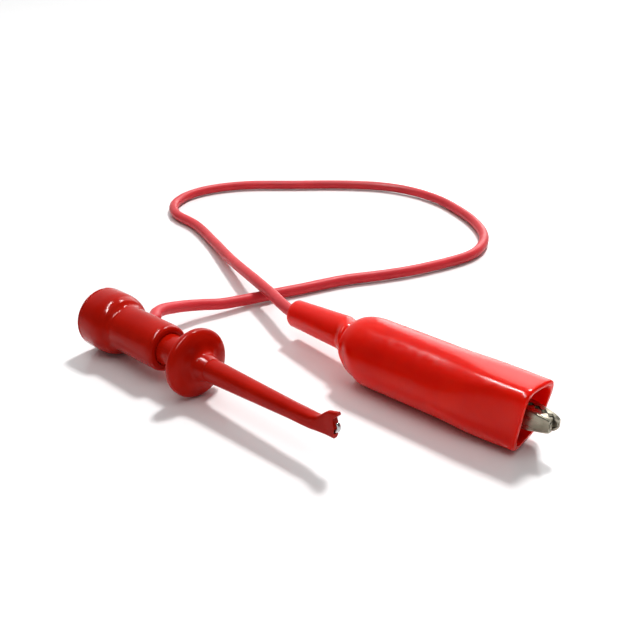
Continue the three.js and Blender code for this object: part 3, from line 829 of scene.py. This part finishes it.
def moving_jaw():
    """Near jaw, which turns about the rivet."""
    shape = jaw_channel(MOVING_LUG_HALF, -1, NEAR_TIP_BACK)
    channel = mesh_object("near_jaw_channel", *shape, sharp=40)
    cut(channel, pin_hole(MOVING_LUG_HALF), sharp=40)
    nose = mesh_object("near_jaw_tip", *jaw_nose(-1, NEAR_TIP_BACK), sharp=40)
    for piece in (channel, nose):
        finish_piece(piece, clip_space, "nickel", "near_jaw", "moving_jaw")


def pivot_rivet():
    """Upright rivet with a domed head at each end."""
    head = FIXED_LUG_HALF + 0.02
    outline = [
        (-head - 0.4, 0),
        (-head - 0.36, 0.7),
        (-head - 0.12, 1.1),
        (-head, 1.15),
        (-head, PIN_RADIUS),
        (head, PIN_RADIUS),
        (head, 1.15),
        (head + 0.12, 1.1),
        (head + 0.36, 0.7),
        (head + 0.4, 0),
    ]
    vertices, faces = turned(outline, 48, 0.08)
    piece = mesh_object("rivet", [(PIVOT_X - z, y, x) for x, y, z in vertices], faces)
    finish_piece(piece, clip_space, "nickel", "lead", "pivot_rivet")


def jaw_spring():
    """Torsion spring: a coil round the pin and an arm pressing on each handle."""
    coil_radius, turns, pitch = 1.35, 3, 0.5
    arm_end_x, arm_y = -25.5, 2.95
    half = turns * pitch / 2
    coil = []
    for i in range(turns * 20 + 1):
        angle = math.pi / 2 + 2 * math.pi * i / 20
        coil.append((PIVOT_X + coil_radius * math.cos(angle), coil_radius * math.sin(angle),
                     -half + 2 * half * i / (turns * 20)))
    middle_x, middle_y = (arm_end_x + PIVOT_X) / 2, (arm_y + coil_radius) / 2
    path = smooth_path([
        (arm_end_x, arm_y, -half), (middle_x, middle_y, -half), *coil,
        (middle_x, -middle_y, half), (arm_end_x, -arm_y, half),
    ], 2)
    piece = mesh_object("torsion_spring", *wire(path, SPRING_WIRE_RADIUS, 10), sharp=50)
    finish_piece(piece, clip_space, "spring_steel", None, "jaw_spring")
    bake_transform(piece)


def clip_end_conductor():
    shape = strands((CRIMP_REAR - 0.3, 0, 0), (CRIMP_FRONT + 0.6, 0, 0), 0.6, 0.2)
    piece = mesh_object("clip_end_strands", *shape, sharp=50)
    finish_piece(piece, clip_space, "copper", "lead", "clip_end_conductor")


fixed_jaw()
moving_jaw()
pivot_rivet()
jaw_spring()
clip_end_conductor()

# ---- boot ----------------------------------------------------------------------------------------
BOOT_RADIUS = 5.75
BOOT_WALL = 0.9
MOUTH_HALF_WIDTH = 4.3
MOUTH_RISE = 5.6
MOUTH_FALL = 5.15
MOUTH_BLEND = 14.0  # the length over which the round body turns into the squarish mouth
MOUTH_LEAN = 0.85  # how far the rim's top runs ahead of its middle
MOUTH_FAR_LEAN = 1.3  # the same on the far side
MOUTH_NEAR = 0.3  # how far the rim's near side runs ahead
SHOULDER_START = -28.6
NECK_X = -34.2
NECK_RADIUS = 3.1
BOOT_END = -50.5
TAIL_RADIUS = 2.45
TAIL_START = -33.5
TAIL_STEP = 1.3  # how far the neck steps to the far side
TAIL_LIFT = 0.45  # and up
TAIL_SWING = 0.143  # the tail's slope to the far side behind the neck
TAIL_DROP = 0.09  # and down
BOOT_SIDES = 96


def boot_radius(x):
    """Outer radius of the boot before it is shaped: body, long rounded shoulder, tapering tail."""
    if x > SHOULDER_START:
        return BOOT_RADIUS
    if x > NECK_X:
        t = (SHOULDER_START - x) / (SHOULDER_START - NECK_X)
        return NECK_RADIUS + (BOOT_RADIUS - NECK_RADIUS) * math.sqrt(max(1 - t ** 2.3, 0))
    return NECK_RADIUS + (TAIL_RADIUS - NECK_RADIUS) * (NECK_X - x) / (NECK_X - BOOT_END)


def tail_offset(x):
    """How far the boot's middle has moved sideways and up at x."""
    behind = max(TAIL_START - x, 0)
    step = ease(behind, 0, 4)
    reach = max(behind - 3, 0)
    return TAIL_STEP * step + TAIL_SWING * reach, TAIL_LIFT * step - TAIL_DROP * reach


def bumps(x, angle):
    """Dents and folds of the soft skin, as a change of radius. Angle 0 is +Y and 90 is up."""
    ahead = x - NECK_X

    def at(place, length, middle, width, size):
        turn = (angle - middle + 180) % 360 - 180
        return size * math.exp(-((ahead - place) / length) ** 2 - (turn / width) ** 2)

    return (
        at(-0.3, 0.4, 150, 45, -0.42)
        + at(0.8, 0.5, 160, 32, 0.26)
        + at(-1.3, 0.6, 140, 40, 0.26)
        + at(-2.4, 0.7, 165, 28, -0.26)
        + at(1.8, 0.8, 185, 24, -0.35)
        + at(1.5, 2.2, 205, 30, -0.5)
        + at(-0.1, 0.25, 118, 16, -0.3)
        + at(0.3, 0.22, 168, 13, -0.28)
        + at(-0.8, 0.3, 186, 13, 0.22)
        + at(3.0, 1.2, 225, 22, -0.25)
        + at(-12, 6, 210, 20, -0.12)
        + at(16, 9, 195, 30, -0.06)
    )


def boot_point(x, angle, inset):
    """A point of the boot's skin, inset from the outside towards the axis."""
    c, s = math.cos(math.radians(angle)), math.sin(math.radians(angle))
    radius = boot_radius(x) + bumps(x, angle) - inset
    y, z = radius * c, radius * s
    boxy = ease(x, -MOUTH_BLEND, 0)
    if boxy > 0:
        power = 2 + (2.2 if c < 0 else 1.4) * boxy
        reach = MOUTH_RISE if s > 0 else MOUTH_FALL
        width = BOOT_RADIUS + (MOUTH_HALF_WIDTH - BOOT_RADIUS) * boxy - inset
        height = BOOT_RADIUS + (reach - BOOT_RADIUS) * boxy - inset
        size = (abs(c / width) ** power + abs(s / height) ** power) ** (-1 / power)
        size += bumps(x, angle)
        y, z = size * c, size * s
    dy, dz = tail_offset(x)
    lean = MOUTH_LEAN + (MOUTH_FAR_LEAN - MOUTH_LEAN) * ease(c, -0.5, 0.5)
    lip = ease(x, -5, 0) * (lean * z / MOUTH_RISE + MOUTH_NEAR * max(-c, 0))
    return x + lip, y + dy, z + dz


def boot():
    """Soft sleeve over the clip, with a creased neck and a tube for the cord."""
    # The rings lie closest together at the shoulder and the neck.
    outer = [-0.35, -1, -2, *(-3 - 1.5 * i for i in range(17)),
             *(-28.5 - 0.2 * i for i in range(50)), *(-38.5 - 0.8 * i for i in range(15))]
    skin = [(0, 0.25), (-0.12, 0.08), *((x, 0) for x in outer), (BOOT_END + 0.25, 0),
            (BOOT_END + 0.05, 0.1), (BOOT_END, 0.3)]
    wall = [(BOOT_END, 0.65), (BOOT_END + 0.05, 0.8)]
    wall += [(x, BOOT_WALL) for x in reversed(outer)]
    wall += [(0, BOOT_WALL - 0.15)]
    rings = []
    for x, inset in skin + wall:
        rings.append([boot_point(x, 360 * k / BOOT_SIDES, inset) for k in range(BOOT_SIDES)])
    piece = mesh_object("boot_sleeve", *loft(rings, wrap=True), sharp=60)
    finish_piece(piece, clip_space, "boot_vinyl", None, "boot")
    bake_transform(piece)


boot()


# ---- table and light -----------------------------------------------------------------------------
AWAY = Vector((-math.sin(CAMERA_HEADING), math.cos(CAMERA_HEADING), 0))  # level, from the viewer
RIGHT = Vector((math.cos(CAMERA_HEADING), math.sin(CAMERA_HEADING), 0))  # level, to the right
UP = Vector((0, 0, 1))
MIDDLE = Vector((0, 0.02, 0))  # the lamps are placed round this point
TABLE_HALF = 3.0
TABLE_DROP = 0.00005  # keeps the table clear of the lead's lowest points
ROOM_DIM, ROOM_BRIGHT = 0.14, 0.9
ROOM_RISE = 0.45  # how much the room's bright side leans up
ROOM_TURN = (0.35, 0.95)  # cosines from that side at which the room is dim and bright


def make_table():
    """A wide white table with a faint gloss."""
    mesh = bpy.data.meshes.new("table")
    corners = [(x * TABLE_HALF, y * TABLE_HALF, 0) for x, y in ((-1, -1), (1, -1), (1, 1), (-1, 1))]
    mesh.from_pydata(corners, [], [(0, 1, 2, 3)])
    table = bpy.data.objects.new("table", mesh)
    table.location.z = -TABLE_DROP
    bpy.context.collection.objects.link(table)
    surface = Surface("table", 0.16)
    surface.colour(surface.noise(900), (0.925, 0.925, 0.925), (0.935, 0.935, 0.935))
    surface.gloss(0.3)
    mesh.materials.append(surface.material)


def area_light(name, way, distance, size, energy, long=None):
    """A lamp seen from the lead along way, turned towards it, its long side along long."""
    data = bpy.data.lights.new(name, "AREA")
    data.shape = "RECTANGLE"
    data.size, data.size_y = size
    data.energy = energy
    light = bpy.data.objects.new(name, data)
    light.location = MIDDLE + way.normalized() * distance
    if long is None:
        light.rotation_euler = way.to_track_quat("Z", "Y").to_euler()
    else:
        out = way.normalized()
        side = (long - out * long.dot(out)).normalized()
        light.rotation_euler = Matrix((side, out.cross(side), out)).transposed().to_euler()
    bpy.context.collection.objects.link(light)
    return light


def make_room():
    """A room that is brighter behind and above the lead than behind the viewer."""
    world = bpy.data.worlds.new("studio")
    world.use_nodes = True
    nodes, link = world.node_tree.nodes, world.node_tree.links.new
    way = nodes.new("ShaderNodeTexCoord")
    facing = nodes.new("ShaderNodeVectorMath")
    facing.operation = "DOT_PRODUCT"
    facing.inputs[1].default_value = (AWAY + UP * ROOM_RISE).normalized()
    spread = nodes.new("ShaderNodeMapRange")
    spread.interpolation_type = "SMOOTHSTEP"
    spread.inputs["From Min"].default_value = ROOM_TURN[0]
    spread.inputs["From Max"].default_value = ROOM_TURN[1]
    spread.inputs["To Min"].default_value = ROOM_DIM
    spread.inputs["To Max"].default_value = ROOM_BRIGHT
    background = nodes["Background"]
    background.inputs["Color"].default_value = (1, 1, 1, 1)
    link(way.outputs["Generated"], facing.inputs[0])
    link(facing.outputs["Value"], spread.inputs["Value"])
    link(spread.outputs["Result"], background.inputs["Strength"])
    bpy.context.scene.world = world


def make_light():
    """The photo's lamps: a key that casts the shadows, a broad fill, and two seen as highlights."""
    bpy.context.scene.view_settings.view_transform = "Standard"
    make_room()
    area_light("key", AWAY * 0.453 + RIGHT * 0.211 + UP * 0.866, 0.9, (0.13, 0.13), 6.5)
    fill = area_light("fill", UP * 0.85 - AWAY * 0.3, 0.9, (0.7, 0.7), 2.7)
    fill.visible_glossy = False
    above, left = Vector((-0.409, 0, 0.912)), Vector((-0.065, -0.572, 0.817))
    tube = area_light("tube", above + left, 0.6, (0.5, 0.045), 8.5, above - left)
    tube.visible_diffuse = False
    toward, across = Vector((-0.38, 0.81, 0.46)), Vector((0.81, 0.38, 0))
    window = area_light("window", toward, 1.2, (0.55, 1.0), 6.0, across)
    window.visible_diffuse = False
    window.visible_camera = False


make_table()
make_light()
